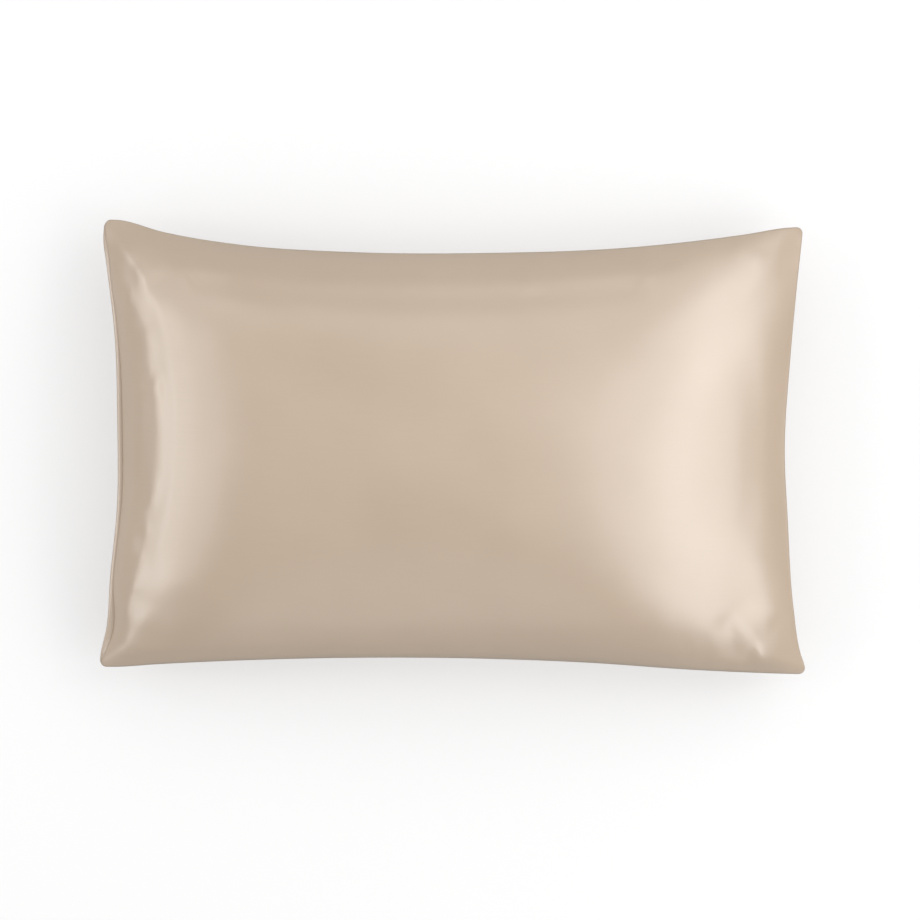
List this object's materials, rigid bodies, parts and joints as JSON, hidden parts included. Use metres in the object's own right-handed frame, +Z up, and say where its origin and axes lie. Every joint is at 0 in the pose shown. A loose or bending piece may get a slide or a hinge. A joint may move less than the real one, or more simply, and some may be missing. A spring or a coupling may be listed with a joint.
{
  "type": "filled satin pillowcase",
  "caption": "Satin pillowcase drawn over a plump pillow, with drawn-in sides, pointed corners and an open end behind a tucked flap.",
  "frame": {"origin": "on the surface that the pillowcase lies on, under the middle of its bounding box", "axes": "+X along the long sides, from the open end to the sewn end; +Y across, towards the upper long side in the picture; +Z up, out of the front panel"},
  "size_m": [0.7068, 0.4478, 0.1701],
  "materials": {
    "front_satin": "satin, soft sheen",
    "back_satin": "satin, soft sheen"
  },
  "bodies": {
    "root": {"front_panel": "front_satin", "back_panel": "back_satin"}
  },
  "joints": []
}
